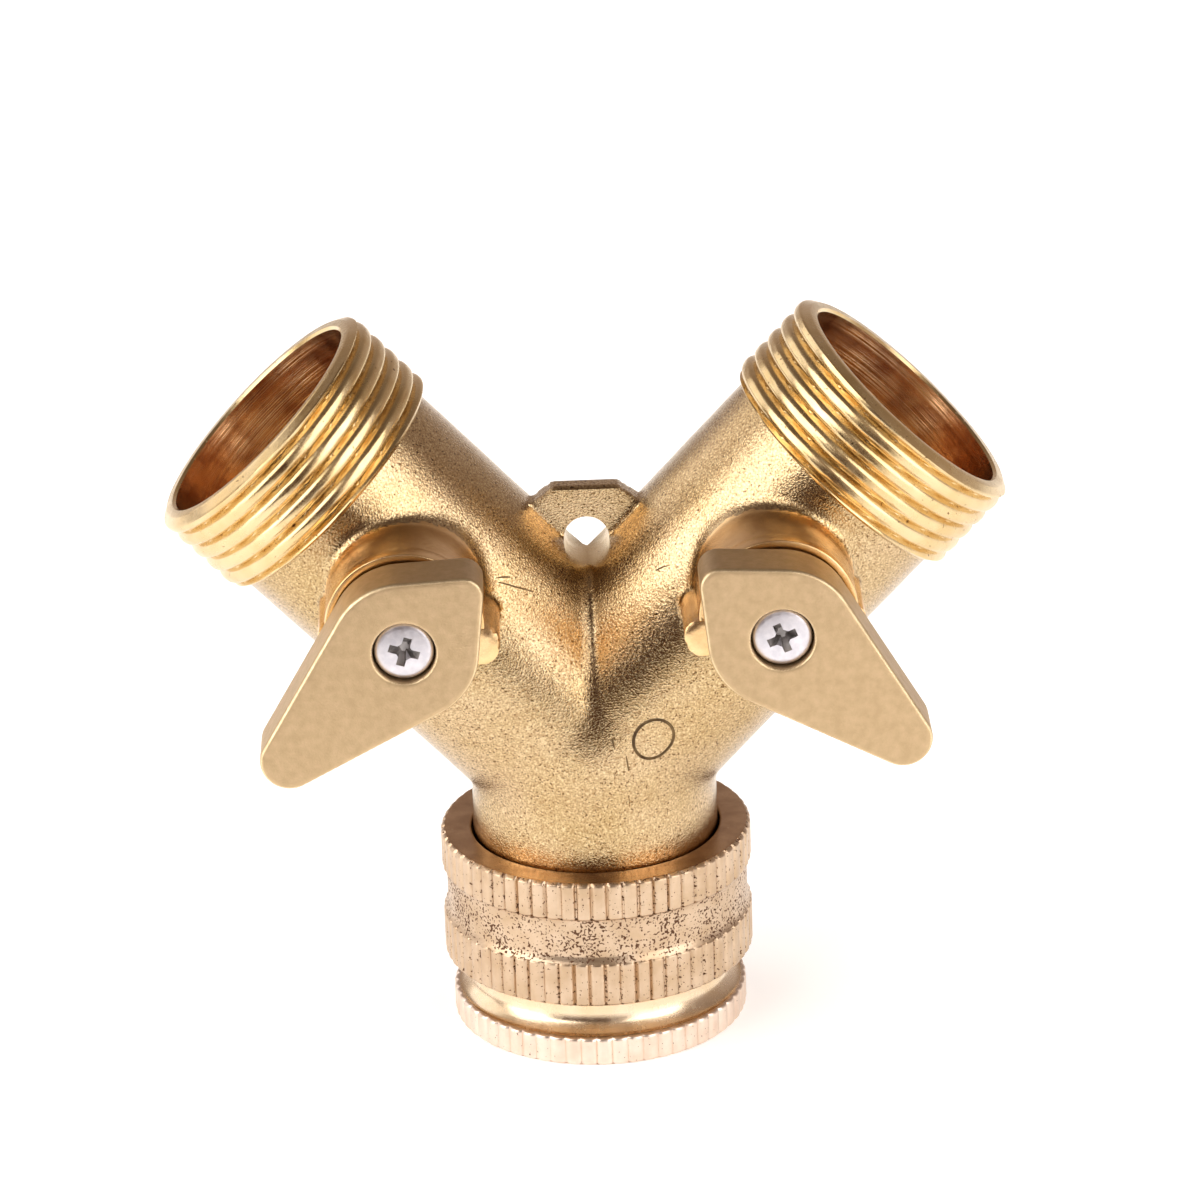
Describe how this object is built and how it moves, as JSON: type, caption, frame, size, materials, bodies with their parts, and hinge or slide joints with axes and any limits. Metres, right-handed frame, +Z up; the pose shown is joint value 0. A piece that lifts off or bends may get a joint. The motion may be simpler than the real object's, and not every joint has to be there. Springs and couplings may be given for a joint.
{
  "type": "hose splitter",
  "caption": "Brass Y hose splitter: a swivel threaded inlet below feeds two slanted threaded outlets, each with its own quarter-turn lever ball valve.",
  "frame": {"origin": "under the middle of the whole object, in the plane of the inlet adapter's bottom face", "axes": "+Z up along the inlet axis, away from the tap; +X towards the right outlet; -Y towards the levers"},
  "size_m": [0.079, 0.04, 0.0705],
  "materials": {
    "cast_brass": "sandblasted casting, fine bright grain",
    "turned_brass": "machined, bright",
    "lever_brass": "matte bead-blasted, bright worn edges",
    "pale_brass": "pale knurled, lightly pitted",
    "chrome": "polished ball",
    "zinc": "bright zinc plate",
    "spring_steel": "plain spring steel",
    "ptfe": "waxy white",
    "rubber": "matte black"
  },
  "bodies": {
    "body": {"y_body": "cast_brass", "snap_ring": "spring_steel", "inlet_washer": "rubber", "left_inner_seat": "ptfe", "left_outer_seat": "ptfe", "left_seat_retainer": "turned_brass", "left_thrust_washer": "ptfe", "right_inner_seat": "ptfe", "right_outer_seat": "ptfe", "right_seat_retainer": "turned_brass", "right_thrust_washer": "ptfe"},
    "left_valve": {"left_lever": "lever_brass", "left_lever_screw": "zinc", "left_stem": "turned_brass", "left_stem_oring_inner": "rubber", "left_stem_oring_outer": "rubber", "left_ball": "chrome"},
    "right_valve": {"right_lever": "lever_brass", "right_lever_screw": "zinc", "right_stem": "turned_brass", "right_stem_oring_inner": "rubber", "right_stem_oring_outer": "rubber", "right_ball": "chrome"},
    "nut": {"swivel_nut": "pale_brass"},
    "adapter": {"inlet_adapter": "pale_brass", "adapter_washer": "rubber"}
  },
  "joints": [
    {"name": "left_lever_turn", "type": "hinge", "parent": "body", "child": "left_valve", "pos_m": [-0.01718, 0.005, 0.04796], "axis": [0, 1, 0], "range_deg": [0, 90]},
    {"name": "right_lever_turn", "type": "hinge", "parent": "body", "child": "right_valve", "pos_m": [0.01718, 0.005, 0.04796], "axis": [0, -1, 0], "range_deg": [0, 90]},
    {"name": "nut_swivel", "type": "hinge", "parent": "body", "child": "nut", "pos_m": [0, 0.005, 0.013], "axis": [0, 0, 1], "continuous": true},
    {"name": "adapter_unscrew", "type": "slide", "parent": "nut", "child": "adapter", "axis": [0, 0, -1], "range_m": [0, 0.0055]}
  ]
}
